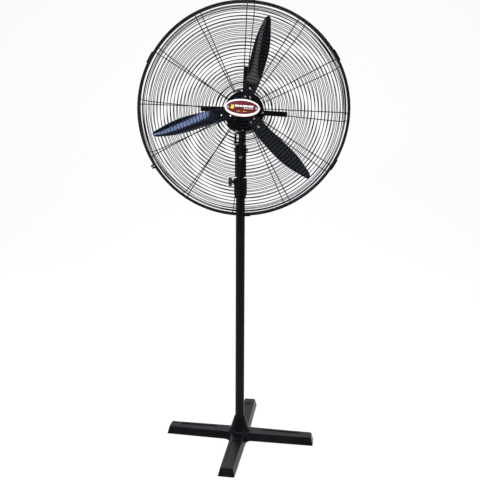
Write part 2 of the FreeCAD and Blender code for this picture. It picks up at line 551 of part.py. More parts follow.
node("hub_nut", on_head(nut))

# --------------------------------------------- the oscillation gear train
WX = D.head_x - D.worm_pitch_od / 2 - D.worm_module * D.wheel_teeth / 2
WY = 51.0
gap_ = 0.5 * (D.pinion_teeth.v + D.gear_teeth.v)
CX = D.swing_x
CY = WY + math.sqrt(gap_ ** 2 - (val(CX) - val(WX)) ** 2)


def gear_shape(teeth, module, low, high, bore, first, slim, addendum=1.0, width=None):
    """An involute gear on Z, one tooth centred at angle `first` (degrees)."""
    rp = teeth * module / 2
    rb = rp * math.cos(math.radians(20))
    ra = rp + addendum * module
    rf = rp - 1.25 * module
    inv = math.tan(math.radians(20)) - math.radians(20)
    half = math.pi / (2 * teeth) - slim / (2 * rp)
    pts = []
    for k in range(teeth):
        mid = math.radians(first) + 2 * math.pi * k / teeth
        flank = []
        for i in range(5):
            r = max(rb, rf) + (ra - max(rb, rf)) * i / 4.0
            t = math.acos(min(1.0, rb / r))
            flank.append((r, half + inv - (math.tan(t) - t)))
        pts.append((rf, mid - flank[0][1] - (0.0 if rf < rb else 0.0)))
        pts += [(r, mid - a) for r, a in flank]
        pts += [(r, mid + a) for r, a in reversed(flank)]
        pts.append((rf, mid + flank[0][1]))
    corners_ = [V(r * math.cos(a), r * math.sin(a), low) for r, a in pts]
    cleaned = [corners_[0]]
    for q in corners_[1:]:
        if (q - cleaned[-1]).Length > 1e-4:
            cleaned.append(q)
    face = Part.Face(Part.makePolygon(cleaned + [cleaned[0]]))
    solid = face.extrude(V(0, 0, high - low))
    if bore:
        solid = solid.cut(Part.makeCylinder(bore, high - low + 2, V(0, 0, low - 1)))
    return solid


wheel = made("wheel", gear_shape(int(D.wheel_teeth.v), D.worm_module.v, 1381.5, 1386.5, 4.06, 6.0, 0.46, 0.8), FreeCAD.Placement(V(val(WX), WY, 0), NONE))
wheel_hub = cut("wheel_hub", cyl("wheel_hub_o", 8, 16, (WX, WY, 1376)), cyl("wheel_hub_i", 4.06, 20, (WX, WY, 1374)))
node("worm_wheel", fuse("wheel_f", wheel, wheel_hub))
clutch_rod = turned("clutch_rod", [(0, 1321.6), (4, 1321.6), (4, 1331.5), (6.6, 1331.5), (6.6, 1332), (4, 1332.2), (4, 1409), (3, 1410), (0, 1410)])
place(clutch_rod, (WX, WY, 0))
line_to_crank = math.degrees(math.atan2(CY - WY, val(CX) - val(WX)))
pinion = made("pinion", gear_shape(int(D.pinion_teeth.v), 1.0, 1332, 1343, None, line_to_crank, 0.16, 0.9), FreeCAD.Placement(V(val(WX), WY, 0), NONE))
node("clutch_shaft", fuse("clutch_f", clutch_rod, pinion))
big_first = line_to_crank + 180 + 180.0 / D.gear_teeth.v
big_gear = made("big_gear", gear_shape(int(D.gear_teeth.v), 1.0, 1333, 1341, 5.02, big_first, 0.16, 0.9), FreeCAD.Placement(V(val(CX), CY, 0), NONE))
node("output_gear", big_gear)
crank_rod = turned("crank_rod", [(0, 1306), (24.5, 1306), (25.5, 1307), (25.5, 1312), (24.5, 1313), (8, 1313), (8, 1314.5), (5, 1314.5), (5, 1350), (4, 1351), (0, 1351)])
place(crank_rod, (CX, CY, 0))
crank_pin = cyl("crank_pin", 3, 10, (CX - D.crank_r, CY, 1297.5))
node("crank", fuse("crank_f", crank_rod, crank_pin))
# the link rod, from the crank pin forward to the neck's pin
ex, nx = val(CX) - D.crank_r.v, val(SX) - D.lug_r.v
link_long = math.hypot(ex - nx, CY)
link_rot = FreeCAD.Rotation(V(0, 0, 1), math.degrees(math.atan2(-CY, nx - ex)))
link_bar = box("link_bar", (link_long - 3, 5, 4), (3, -8, 0))
link = cut("link_f", fuse("link_s", link_bar, cyl("link_eye_a", 7, 4), cyl("link_eye_b", 8.7, 4, (link_long, 0, 0))), cyl("link_hole_a", 3.05, 10, (0, 0, -3)), cyl("link_hole_b", 7.0, 10, (link_long, 0, -3)))
place(link, (ex, CY, 1298.5), link_rot)
node("link_rod", link)

gx0, gx1, gy0, gy1, gz0, gz1 = -35.0, 34.0, 30.0, 98.0, 1317.0, 1404.0
case = cut("case_s", box("case_o", (gx1 - gx0, gy1 - gy0, gz1 - gz0), (gx0, gy0, gz0)), box("case_i", (gx1 - gx0 - 6, gy1 - gy0 - 6, gz1 - gz0), (gx0 + 3, gy0 + 3, gz0 + 4)))
case_bosses = [cyl("case_boss%d" % i, 4.5, gz1 - gz0 - 0.5, (x, y, gz0 + 0.5)) for i, (x, y) in enumerate(((gx0 + 4.5, gy0 + 4.5), (gx1 - 4.5, gy0 + 4.5), (gx0 + 4.5, gy1 - 4.5), (gx1 - 4.5, gy1 - 4.5)))]
case_holes = [cyl("case_hole%d" % i, 2.03, 12, (x, y, gz1 - 11)) for i, (x, y) in enumerate(((gx0 + 4.5, gy0 + 4.5), (gx1 - 4.5, gy0 + 4.5), (gx0 + 4.5, gy1 - 4.5), (gx1 - 4.5, gy1 - 4.5)))]
node("gearbox_housing", cut("gearbox", fuse("gearbox_s", case, *case_bosses), box("case_wheel_slot", (44, 10, 14), (-32, 26, 1377)), cyl("case_shaft", 8.6, 10, (D.head_x, 26, D.head_z), FreeCAD.Rotation(V(1, 0, 0), -90)), cyl("case_crank", 5.06, 12, (CX, CY, gz0 - 4)), cyl("case_clutch", 4.06, 12, (WX, WY, gz0 - 0.5)), cyl("case_back_a", 2.03, 12, (-20, 90, 1362), FreeCAD.Rotation(V(1, 0, 0), -90)), cyl("case_back_b", 2.03, 12, (24, 90, 1394), FreeCAD.Rotation(V(1, 0, 0), -90)), *case_holes))
lid_holes = [cyl("lid_hole%d" % i, 2.03, 10, (x, y, gz1 - 3)) for i, (x, y) in enumerate(((gx0 + 4.5, gy0 + 4.5), (gx1 - 4.5, gy0 + 4.5), (gx0 + 4.5, gy1 - 4.5), (gx1 - 4.5, gy1 - 4.5)))]
node("gearbox_cover", cut("lid", box("lid_s", (gx1 - gx0, gy1 - gy0, 3), (gx0, gy0, gz1)), cyl("lid_way", 4.06, 10, (WX, WY, gz1 - 3)), *lid_holes))
m4 = turned("m_four", [(0, -9), (2, -9), (2, 0), (3.8, 0), (3.6, 1.6), (2.6, 2.6), (0, 2.8)])
m4long = turned("m_four_long", [(0, -27), (2, -27), (2, 0), (3.8, 0), (3.6, 1.6), (2.6, 2.6), (0, 2.8)])
doc.recompute()
group = []
for x, y in ((gx0 + 4.5, gy0 + 4.5), (gx1 - 4.5, gy0 + 4.5), (gx0 + 4.5, gy1 - 4.5), (gx1 - 4.5, gy1 - 4.5)):
    s = m4.Shape.copy()
    s.Placement = FreeCAD.Placement(V(x, y, gz1 + 3), NONE)
    group.append(s)
for x, z in ((-20, 1362), (24, 1394)):
    s = m4long.Shape.copy()
    s.Placement = FreeCAD.Placement(V(x, 122, z), FreeCAD.Rotation(V(1, 0, 0), -90))
    group.append(s)
node("case_screws", made("screws_g", Part.makeCompound(group)))

# The rear cover, its switch, capacitor, gland and clutch knob.
HX, HZ = D.head_x, D.head_z
BACK = FreeCAD.Rotation(V(1, 0, 0), -90)
cover_o = fuse("cover_o", cyl("cover_round", 72, 91.5, (HX, 30.5, HZ), BACK), box("cover_box", (144, 91.5, 68), (HX - 72, 30.5, HZ - 68)))
cover_i = fuse("cover_i", cyl("cover_round_i", 70, 90, (HX, 30, HZ), BACK), box("cover_box_i", (140, 90, 80), (HX - 70, 30, HZ - 80)))
cover_o = common("cover_trim_o", cover_o, cyl("cover_limit_o", 86, 93, (HX, 30, HZ), BACK))
cover_i = common("cover_trim_i", cover_i, cyl("cover_limit_i", 84, 92, (HX, 29.5, HZ), BACK))
cover_f = cut("cover_f", cover_o, cover_i, cyl("cover_knob_way", 5.6, 60, (WX, WY, 1420)), cyl("cover_switch_way", 5.05, 10, (58, 116, 1400), BACK), cyl("cover_gland_way", 6.05, 10, (58, 116, 1346), BACK), cyl("cover_a", 2.05, 10, (-20, 116, 1362), BACK), cyl("cover_b", 2.05, 10, (24, 116, 1394), BACK))
node("rear_cover", cover_f)
switch_body = fuse("switch_s", box("switch_box", (26, 22, 26), (45, 98, 1387)), cyl("switch_neck", 5, 6, (58, 119.5, 1400), BACK))
node("speed_switch", cut("switch_f", switch_body, cyl("switch_bore", 3.06, 12, (58, 114, 1400), BACK)))
knob_form = turned("speed_form", [(0, -9), (3, -9), (3, 0.6), (14, 0.6), (16, 1.6), (16, 4), (13.2, 5.4), (12.2, 13), (11, 14), (0, 14)])
place(knob_form, (58, 126, 1400), BACK)
knob_rib = box("speed_rib", (4, 14, 30), (56, 126.6, 1385))
node("speed_knob", fuse("speed_f", knob_form, common("speed_rib_c", knob_rib, cyl("speed_rib_lim", 15, 14, (58, 126.6, 1400), BACK))))
capacitor = turned("capacitor_b", [(0, 0), (4, 0), (4, 3), (14, 3), (15, 4), (15, 53), (14, 54), (0, 54)])
node("capacitor", place(capacitor, (60, 30, 1350), BACK))
gland = turned("gland_b", [(3.5, -7), (6, -7), (6, 2), (9, 2), (9, 7), (8, 8), (7.6, 15), (5.8, 18), (3.5, 18)])
node("cable_gland", place(gland, (58, 120, 1346), BACK))
puller = turned("puller", [(0, 1417), (4.2, 1417), (5, 1418), (5, 1459.5), (9, 1459.5), (11, 1461.5), (11.5, 1472), (10.5, 1478), (7.5, 1480.5), (0, 1481)])
node("oscillation_knob", place(puller, (WX, WY, 0)))

# ------------------------------------------------------ the guard bracket
bars = [box("bar_h", (2 * D.bar_reach, D.bar_width, D.bar_thick), (-1 * D.bar_reach, -1 * D.bar_width / 2, D.motor_front)), box("bar_v", (D.bar_width, 2 * D.bar_reach, D.bar_thick), (-1 * D.bar_width / 2, -1 * D.bar_reach, D.motor_front)), cyl("bar_disc", 40, D.bar_thick, (0, 0, D.motor_front))]
bar_ways = []
for k in range(4):
    a = math.radians(90 * k)
    bar_ways.append(cyl("bar_way%d" % k, 2.1, 10, (75.5 * math.cos(a), 75.5 * math.sin(a), 70)))
bracket = cut("bracket", fuse("bracket_s", *bars), cyl("bar_bore", 22, 10, (0, 0, 70)), *bar_ways)
node("guard_bracket", on_head(bracket, rot=FreeCAD.Rotation(V(0, 0, 1), D.guard_turn.v)))

# -------------------------------------------------------------- the guards
rib_r, ring_r, rim_r = D.rib_wire.v / 2, D.ring_wire.v / 2, D.rim_wire.v / 2
SINK = 0.12


class Path:
    """A rib's centre line in (r, f): face, rounded corner, side."""

    def __init__(self, a, k, d, radius):
        self.a, self.d = a, d
        u1 = self.unit(k, a)
        u2 = self.unit(k, d)
        half = math.acos(max(-1.0, min(1.0, u1[0] * u2[0] + u1[1] * u2[1]))) / 2
        run = radius / math.tan(half)
        self.b = (k[0] + u1[0] * run, k[1] + u1[1] * run)
        self.c = (k[0] + u2[0] * run, k[1] + u2[1] * run)
        m = self.unit((0, 0), (u1[0] + u2[0], u1[1] + u2[1]))
        far = radius / math.sin(half)
        self.o = (k[0] + m[0] * far, k[1] + m[1] * far)
        self.radius = radius
        self.l1 = math.dist(self.a, self.b)
        self.sweep = math.pi - 2 * half
        self.l2 = radius * self.sweep
        self.l3 = math.dist(self.c, self.d)
        self.total = self.l1 + self.l2 + self.l3

    @staticmethod
    def unit(p, q):
        n = math.hypot(q[0] - p[0], q[1] - p[1])
        return ((q[0] - p[0]) / n, (q[1] - p[1]) / n)

    def at(self, s):
        """Point and outward normal at length s."""
        if s <= self.l1:
            u = self.unit(self.a, self.b)
            p = (self.a[0] + u[0] * s, self.a[1] + u[1] * s)
            n = self.unit(self.o, self.b)
        elif s <= self.l1 + self.l2:
            a0 = math.atan2(self.b[1] - self.o[1], self.b[0] - self.o[0])
            a1 = math.atan2(self.c[1] - self.o[1], self.c[0] - self.o[0])
            t = (s - self.l1) / self.l2
            a = a0 + (a1 - a0) * t
            n = (math.cos(a), math.sin(a))
            p = (self.o[0] + n[0] * self.radius, self.o[1] + n[1] * self.radius)
        else:
            u = self.unit(self.c, self.d)
            k = s - self.l1 - self.l2
            p = (self.c[0] + u[0] * k, self.c[1] + u[1] * k)
            n = self.unit(self.o, self.c)
        return p, n

    def wire(self, spread):
        """The rib in space; spread gives its sideways offset at radius r."""
        def pt(q):
            return V(q[0], spread(q[0]), q[1])
        a0 = math.atan2(self.b[1] - self.o[1], self.b[0] - self.o[0])
        a1 = math.atan2(self.c[1] - self.o[1], self.c[0] - self.o[0])
        mid = (a0 + a1) / 2
        m = (self.o[0] + math.cos(mid) * self.radius, self.o[1] + math.sin(mid) * self.radius)
        return [pt(self.a), pt(self.b), pt(m), pt(self.c), pt(self.d)]


def rib_solid(path, start):
    """One bent rib from radius start. The rib lies in its own plane, so the corner is an arc."""
    u = path.unit(path.a, path.b)
    run = (start - path.a[0]) / u[0]
    pts = [V(q[0], 0, q[1]) for q in ((path.a[0] + u[0] * run, path.a[1] + u[1] * run), path.b, (0, 0), path.c, path.d)]
    a0 = math.atan2(path.b[1] - path.o[1], path.b[0] - path.o[0])
    a1 = math.atan2(path.c[1] - path.o[1], path.c[0] - path.o[0])
    mid = (a0 + a1) / 2
    pts[2] = V(path.o[0] + math.cos(mid) * path.radius, 0, path.o[1] + math.sin(mid) * path.radius)
    line = Part.Wire([Part.LineSegment(pts[0], pts[1]).toShape(), Part.Arc(pts[1], pts[2], pts[3]).toShape(), Part.LineSegment(pts[3], pts[4]).toShape()])
    start_dir = (pts[1] - pts[0]).normalize()
    form = Part.Wire([Part.makeCircle(rib_r, pts[0], start_dir)])
    return line.makePipeShell([form], True, False)


def ribs(name, path, turn, short=()):
    """Twelve ribs. Those in short start further out, to clear the badge's screws."""
    out = []
    for k in range(12):
        q = rib_solid(path, 56.4 if k in short else path.a[0])
        q.Placement = HEAD.multiply(spin_z(turn + 30 * k)).multiply(q.Placement)
        out.append(q)
    return node(name, made(name + "_g", Part.makeCompound(out)))


def ring_at(r, f, wire_r):
    """A ring of wire. Twelve flats of the same section area stand for its roundness."""
    rho = wire_r * math.sqrt(math.pi / 3)
    pts = [V(r + rho * math.cos(math.radians(30 * k + 15)), 0, f + rho * math.sin(math.radians(30 * k + 15))) for k in range(12)]
    t = Part.Face(Part.makePolygon(pts + [pts[0]])).revolve(V(0, 0, 0), V(0, 0, 1), 360)
    t.Placement = HEAD.multiply(t.Placement)
    return t


F0, F1 = D.front_face_f.v, D.front_edge_f.v
RR = D.rib_rim_r.v
rim_at = RR + rib_r + rim_r - SINK
front = Path((30, F0), (RR, F1), (RR, D.rim_f.v + 1.6), D.corner_r.v)
rear = Path((81, D.rear_face_f.v), (RR, D.rear_face_f.v), (RR, D.rim_f.v - 1.6), D.corner_r.v)
ribs("front_guard_ribs", front, D.front_turn.v, (0, 6))
ribs("rear_guard_ribs", rear, D.rear_turn.v)


def ring_set(path, first_r, last_f, outward, extra, rim_f):
    """Face rings and side rings along a rib path."""
    off = (rib_r + ring_r - SINK) * outward
    face, side = list(extra), []
    s = (first_r - path.a[0])
    while s < path.total:
        p, n = path.at(s)
        r, f = p[0] + n[0] * off, p[1] + n[1] * off
        if abs(f - rim_f) < last_f:
            break
        (face if s < path.l1 + 0.35 * path.l2 else side).append((r, f, ring_r))
        s += D.ring_pitch.v
    side.append((rim_at, rim_f, rim_r))
    return face, side


front_face, front_side = ring_set(front, 45.0, 11.6, 1, [(33.0, F0 + rib_r + 1.8 - SINK, 1.8)], D.rim_f.v + 3.2)
rear_extra = [(85.9, D.rear_face_f.v + rib_r + 2.5 - SINK, 2.5)]
rear_face, rear_side = ring_set(rear, 98.8, 11.6, -1, rear_extra, D.rim_f.v - 3.2)
# the rear guard's heavier ring behind the motor's edge
rear_face = [(r, f if abs(r - 111.7) > 1 else D.rear_face_f.v + rib_r + 2.8 - SINK, wr if abs(r - 111.7) > 1 else 2.8) for r, f, wr in rear_face]
for name, rings in (("front_guard_rings", front_face), ("front_guard_side_rings", front_side), ("rear_guard_rings", rear_face), ("rear_guard_side_rings", rear_side)):
    node(name, made(name + "_g", Part.makeCompound([ring_at(*q) for q in rings])))

RO = D.rim_od / 2
rf = D.rim_f
rim = turned("rim", [(RO - 8.4, rf - 10), (RO - 1, rf - 10), (RO, rf - 9), (RO, rf + 9), (RO - 1, rf + 10), (RO - 8.4, rf + 10), (RO - 8.4, rf + 7.2), (RO - 3.4, rf + 7.2), (RO - 3.4, rf - 7.2), (RO - 8.4, rf - 7.2)])
SPLIT = FreeCAD.Rotation(V(0, 0, 1), 212)
ears = [box("ear_a", (14, 5, 18), tuple(SPLIT.multVec(V(400.8, 1.6, 151))), SPLIT), box("ear_b", (14, 5, 18), tuple(SPLIT.multVec(V(400.8, -6.6, 151))), SPLIT)]
split_gap = box("split_gap", (30, 3.2, 40), tuple(SPLIT.multVec(V(392, -1.6, 140))), SPLIT)
ear_way = cyl("ear_way", 2.55, 40, tuple(SPLIT.multVec(V(410, 20, 160))), FreeCAD.Rotation(SPLIT.multVec(V(0, -1, 0)), 0).multiply(SPLIT.multiply(FreeCAD.Rotation(V(1, 0, 0), 90))))
node("rim_band", on_head(cut("rim_f_", fuse("rim_s", rim, *ears), split_gap, ear_way)))
rim_screw = turned("rim_screw_b", [(0, -16), (2.5, -16), (2.5, 0), (4.6, 0), (4.4, 2), (3, 3.4), (0, 3.6)])
doc.recompute()
screw_rot = SPLIT.multiply(FreeCAD.Rotation(V(1, 0, 0), -90))
rim_screw.Placement = HEAD.multiply(FreeCAD.Placement(SPLIT.multVec(V(410, 6.65, 160)), screw_rot))
node("rim_screw", rim_screw)


def clip_shape():
    r0, r1, r2 = RO.v - 8.0, RO.v + 0.3, RO.v + 2.6
    f0, f1 = rf.v - 10.3, rf.v + 10.3
    pts = [(r0, f0 - 2.2), (r2, f0 - 2.2), (r2, f1 + 2.2), (r0, f1 + 2.2), (r0, f1), (r1, f1), (r1, f0), (r0, f0)]
    face = Part.Face(Part.makePolygon([V(r, 0, f) for r, f in pts] + [V(pts[0][0], 0, pts[0][1])]))
    face.rotate(V(0, 0, 0), V(0, 0, 1), -3.2)
    return face.revolve(V(0, 0, 0), V(0, 0, 1), 6.4)


clip = clip_shape()
group = []
for a in (30, 87, 151, 271, 329):
    s = clip.copy()
    s.Placement = HEAD.multiply(spin_z(a))
    group.append(s)
node("guard_clips", made("clips", Part.makeCompound(group)))

# ------------------------------------------------------------- the badge
TURN = FreeCAD.Rotation(V(0, 0, 1), D.guard_turn.v)
oval = Part.Face(Part.Wire([Part.Ellipse(V(0, 0, 0), D.badge_long.v / 2, D.badge_high.v / 2).toShape()])).extrude(V(0, 0, 8))
oval_o = made("badge_prism", oval, FreeCAD.Placement(V(0, 0, 254.5), NONE))
dome = ball("badge_ball", 560, (0, 0, 254.5 + 7.3 - 560))
badge_ways = [cyl("badge_way%d" % i, 2.05, 30, (x, 0, 245)) for i, x in enumerate((-52, 52))] + [cyl("badge_seat%d" % i, 4.7, 8, (x, 0, 258.6)) for i, x in enumerate((-52, 52))]
badge = cut("badge_f", common("badge_s", oval_o, dome), *badge_ways)
node("badge", on_head(badge, rot=TURN))
clamp_bar = cut("badge_bar", box("badge_bar_s", (120, 14, 2.5), (-60, -7, 243.7)), *[cyl("badge_bar_way%d" % i, 2.03, 10, (x, 0, 240)) for i, x in enumerate((-52, 52))])
node("badge_clamp_plate", on_head(clamp_bar, rot=TURN))
badge_screw = turned("badge_screw_b", [(0, 241.6), (2, 241.6), (2, 258.65), (4.2, 258.65), (4.0, 260.2), (2.6, 261.2), (0, 261.5)])
node("badge_screws", copies("badge_screws_g", badge_screw, [HEAD.multiply(FreeCAD.Placement(V(0, 0, 0), TURN)).multiply(FreeCAD.Placement(V(x, 0, 0), NONE)) for x in (-52, 52)]))

# ------------------------------------------------------- checks and export
doc.recompute()
bad = []
for o in doc.Objects:
    if any(word in str(o.State) for word in ("Invalid", "Error")):
        bad.append((o.Name, o.State))
for name, o in NODES:
    s = o.Shape
    if s.isNull() or not s.isValid() or not s.Solids or s.Volume <= 0:
        bad.append((name, "shape", s.isNull() or (s.isValid(), len(s.Solids), s.Volume)))
names = [n for n, _ in NODES]
if len(set(names)) != len(names) or len(names) > 60:
    bad.append(("names", len(names), len(set(names))))
if bad:
    raise RuntimeError("failed objects: %s" % bad)
os.makedirs("parts", exist_ok=True)
for name, o in NODES:
    o.Shape.exportStep(os.path.join("parts", name + ".step"))
    bb = o.Shape.BoundBox
    print("%-24s solids %2d volume %10.1f mm3  x %.1f..%.1f y %.1f..%.1f z %.1f..%.1f" % (name, len(o.Shape.Solids), o.Shape.Volume, bb.XMin, bb.XMax, bb.YMin, bb.YMax, bb.ZMin, bb.ZMax))
print(len(NODES), "nodes written; wheel axis", round(val(WX), 3), WY, "crank axis", round(val(CX), 3), round(CY, 3))
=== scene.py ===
import math
import bmesh
import bpy
from mathutils import Matrix, Vector


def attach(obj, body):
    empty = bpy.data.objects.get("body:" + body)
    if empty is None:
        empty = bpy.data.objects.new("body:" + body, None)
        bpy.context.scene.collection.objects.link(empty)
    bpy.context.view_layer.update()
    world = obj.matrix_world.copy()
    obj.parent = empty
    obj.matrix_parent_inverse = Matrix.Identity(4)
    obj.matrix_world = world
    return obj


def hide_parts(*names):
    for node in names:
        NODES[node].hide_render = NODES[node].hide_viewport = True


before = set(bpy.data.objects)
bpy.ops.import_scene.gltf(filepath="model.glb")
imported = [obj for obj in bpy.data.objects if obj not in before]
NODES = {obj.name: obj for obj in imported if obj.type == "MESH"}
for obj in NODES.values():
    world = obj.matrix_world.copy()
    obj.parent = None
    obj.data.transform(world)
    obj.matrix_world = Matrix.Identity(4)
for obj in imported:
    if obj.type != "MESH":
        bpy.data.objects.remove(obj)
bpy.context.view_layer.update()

HX, HZ = 0.015, 1.384


def head(x, y, f):
    """A point of the head's turned frame, in mm, as a row point in metres."""
    return Vector((HX + x / 1000.0, -f / 1000.0, HZ + y / 1000.0))


def turn(x, y, deg):
    a = math.radians(deg)
    return x * math.cos(a) - y * math.sin(a), x * math.sin(a) + y * math.cos(a)


# ---------------------------------------------------------------- materials
def material(name):
    m = bpy.data.materials.new(name)
    m.use_nodes = True
    t = m.node_tree
    t.nodes.clear()
    out = t.nodes.new("ShaderNodeOutputMaterial")
    b = t.nodes.new("ShaderNodeBsdfPrincipled")
    t.links.new(b.outputs["BSDF"], out.inputs["Surface"])
    return m, t, b


def coords(t, scale=(1, 1, 1)):
    c = t.nodes.new("ShaderNodeTexCoord")
    m = t.nodes.new("ShaderNodeMapping")
    m.inputs["Scale"].default_value = scale
    t.links.new(c.outputs["Object"], m.inputs["Vector"])
    return m.outputs["Vector"]


def noise(t, vec, scale, detail=3.0, rough=0.5):
    n = t.nodes.new("ShaderNodeTexNoise")
    n.inputs["Scale"].default_value = scale
    n.inputs["Detail"].default_value = detail
    n.inputs["Roughness"].default_value = rough
    t.links.new(vec, n.inputs["Vector"])
    return n.outputs["Fac"]


def ramp(t, fac, stops):
    r = t.nodes.new("ShaderNodeValToRGB")
    e = r.color_ramp.elements
    while len(e) < len(stops):
        e.new(0.5)
    for el, (p, c) in zip(e, stops):
        el.position = p
        el.color = (c[0], c[1], c[2], 1.0) if isinstance(c, tuple) else (c, c, c, 1.0)
    t.links.new(fac, r.inputs["Fac"])
    return r.outputs["Color"]


def to_range(t, fac, lo, hi):
    r = t.nodes.new("ShaderNodeMapRange")
    r.inputs["From Min"].default_value = 0.3
    r.inputs["From Max"].default_value = 0.7
    r.inputs["To Min"].default_value = lo
    r.inputs["To Max"].default_value = hi
    t.links.new(fac, r.inputs["Value"])
    return r.outputs["Result"]


def bumps(t, b, heights, distance, strength=1.0):
    """heights: outputs added together as one bump."""
    h = heights[0]
    for other in heights[1:]:
        a = t.nodes.new("ShaderNodeMath")
        a.operation = "ADD"
        t.links.new(h, a.inputs[0])
        t.links.new(other, a.inputs[1])
        h = a.outputs[0]
    n = t.nodes.new("ShaderNodeBump")
    n.inputs["Distance"].default_value = distance
    n.inputs["Strength"].default_value = strength
    t.links.new(h, n.inputs["Height"])
    t.links.new(n.outputs["Normal"], b.inputs["Normal"])


def mixed(t, fac, one, two):
    m = t.nodes.new("ShaderNodeMix")
    m.data_type = "RGBA"
    for name, c in (("A", one), ("B", two)):
        s = [i for i in m.inputs if i.name == name and i.type == "RGBA"][0]
        if isinstance(c, tuple):
            s.default_value = (*c, 1.0)
        else:
            t.links.new(c, s)
    t.links.new(fac, [i for i in m.inputs if i.name == "Factor" and i.type == "VALUE"][0])
    return [o for o in m.outputs if o.type == "RGBA"][0]


def edge_wear(t, amount=0.012, sharp=(0.6, 0.75)):
    """Where the surface is convex."""
    g = t.nodes.new("ShaderNodeNewGeometry")
    k = ramp(t, g.outputs["Pointiness"], [(sharp[0], 0.0), (sharp[1], 1.0)])
    return k


def painted(name, base=(0.0025, 0.0025, 0.003), rough=(0.16, 0.3), grain=900, depth=0.00004, coat=0.35, dust=0.4, cast=False, spec=0.06):
    """Black enamel or powder coat: fine orange peel, faint dust, worn edges."""
    m, t, b = material(name)
    v = coords(t)
    fine, broad = noise(t, v, grain, 2.0), noise(t, v, 14, 4.0, 0.6)
    dusty = tuple(c * 1.0 + 0.006 * dust for c in base)
    col = mixed(t, ramp(t, broad, [(0.42, 0.0), (0.72, 1.0)]), base, dusty)
    col = mixed(t, edge_wear(t), col, tuple(c + 0.004 for c in base))
    t.links.new(col, b.inputs["Base Color"])
    t.links.new(to_range(t, broad, *rough), b.inputs["Roughness"])
    b.inputs["Specular IOR Level"].default_value = spec
    b.inputs["Coat Weight"].default_value = coat * 0.08
    b.inputs["Coat Roughness"].default_value = 0.08
    heights = [fine]
    if cast:
        heights.append(noise(t, v, 160, 6.0, 0.65))
        heights.append(noise(t, v, 45, 3.0, 0.5))
    bumps(t, b, heights, depth)
    return m


def metal(name, base, rough=(0.2, 0.36), stretch=(1, 1, 1), grain=700, depth=0.00002, stain=None):
    m, t, b = material(name)
    v = coords(t, stretch)
    fine, broad = noise(t, v, grain, 3.0), noise(t, coords(t), 60, 4.0, 0.6)
    dark = stain or tuple(c * 0.62 for c in base)
    t.links.new(mixed(t, ramp(t, broad, [(0.4, 0.0), (0.75, 1.0)]), base, dark), b.inputs["Base Color"])
    t.links.new(to_range(t, fine, *rough), b.inputs["Roughness"])
    b.inputs["Metallic"].default_value = 1.0
    bumps(t, b, [fine], depth)
    return m


def moulded(name, base, rough=(0.34, 0.5), grain=1400, depth=0.00004, spec=0.45):
    m, t, b = material(name)
    v = coords(t)
    fine, broad = noise(t, v, grain, 3.0), noise(t, v, 25, 3.0)
    t.links.new(mixed(t, ramp(t, broad, [(0.4, 0.0), (0.7, 1.0)]), base, tuple(c * 0.8 + 0.004 for c in base)), b.inputs["Base Color"])
    t.links.new(to_range(t, broad, *rough), b.inputs["Roughness"])
    b.inputs["Specular IOR Level"].default_value = spec
    bumps(t, b, [fine], depth)
    return m


ENAMEL_CAST = painted("enamel_on_casting", rough=(0.2, 0.36), grain=700, depth=0.00016, coat=0.5, dust=0.5, cast=True)
POWDER = painted("powder_coat_gloss", rough=(0.17, 0.28), grain=1100, depth=0.00005, coat=0.45, dust=0.25)
MOTOR = painted("motor_enamel", base=(0.003, 0.003, 0.0035), rough=(0.28, 0.42), grain=500, depth=0.00012, coat=0.2, dust=0.4, cast=True)
WIRE = painted("wire_powder_coat", base=(0.0015, 0.0015, 0.0018), rough=(0.2, 0.32), grain=1500, depth=0.00003, coat=0.4, dust=0.3)
BLADE = painted("blade_lacquer", base=(0.002, 0.0022, 0.0032), rough=(0.12, 0.2), grain=420, depth=0.00003, coat=0.8, dust=0.15, spec=0.12)
HUB = painted("hub_enamel", rough=(0.3, 0.45), grain=500, depth=0.00012, coat=0.1, dust=0.4, cast=True)
ZINC = metal("bright_zinc", (0.78, 0.77, 0.73), rough=(0.18, 0.34))
STEEL = metal("ground_steel", (0.56, 0.56, 0.57), rough=(0.22, 0.4), stretch=(1, 12, 1), grain=500)
GEAR = metal("cut_steel", (0.5, 0.49, 0.47), rough=(0.25, 0.42), grain=900, stain=(0.25, 0.2, 0.13))
CORE = metal("laminated_steel", (0.36, 0.36, 0.38), rough=(0.35, 0.55), stretch=(0.2, 60, 0.2), grain=90, depth=0.0001)
COPPER = metal("varnished_copper", (0.1, 0.045, 0.022), rough=(0.3, 0.42), stretch=(1, 1, 1), grain=400, stain=(0.04, 0.018, 0.01))
BRONZE = metal("sintered_bronze", (0.62, 0.42, 0.2), rough=(0.35, 0.5), grain=1200)
RUBBER = moulded("black_rubber", (0.012, 0.012, 0.012), rough=(0.65, 0.85), grain=700, depth=0.0001, spec=0.25)
PLASTIC = moulded("black_plastic", (0.01, 0.01, 0.011))
NYLON = moulded("nylon", (0.72, 0.69, 0.6), rough=(0.4, 0.55), grain=600)
CAP = moulded("capacitor_case", (0.03, 0.03, 0.034), rough=(0.25, 0.35), grain=300)

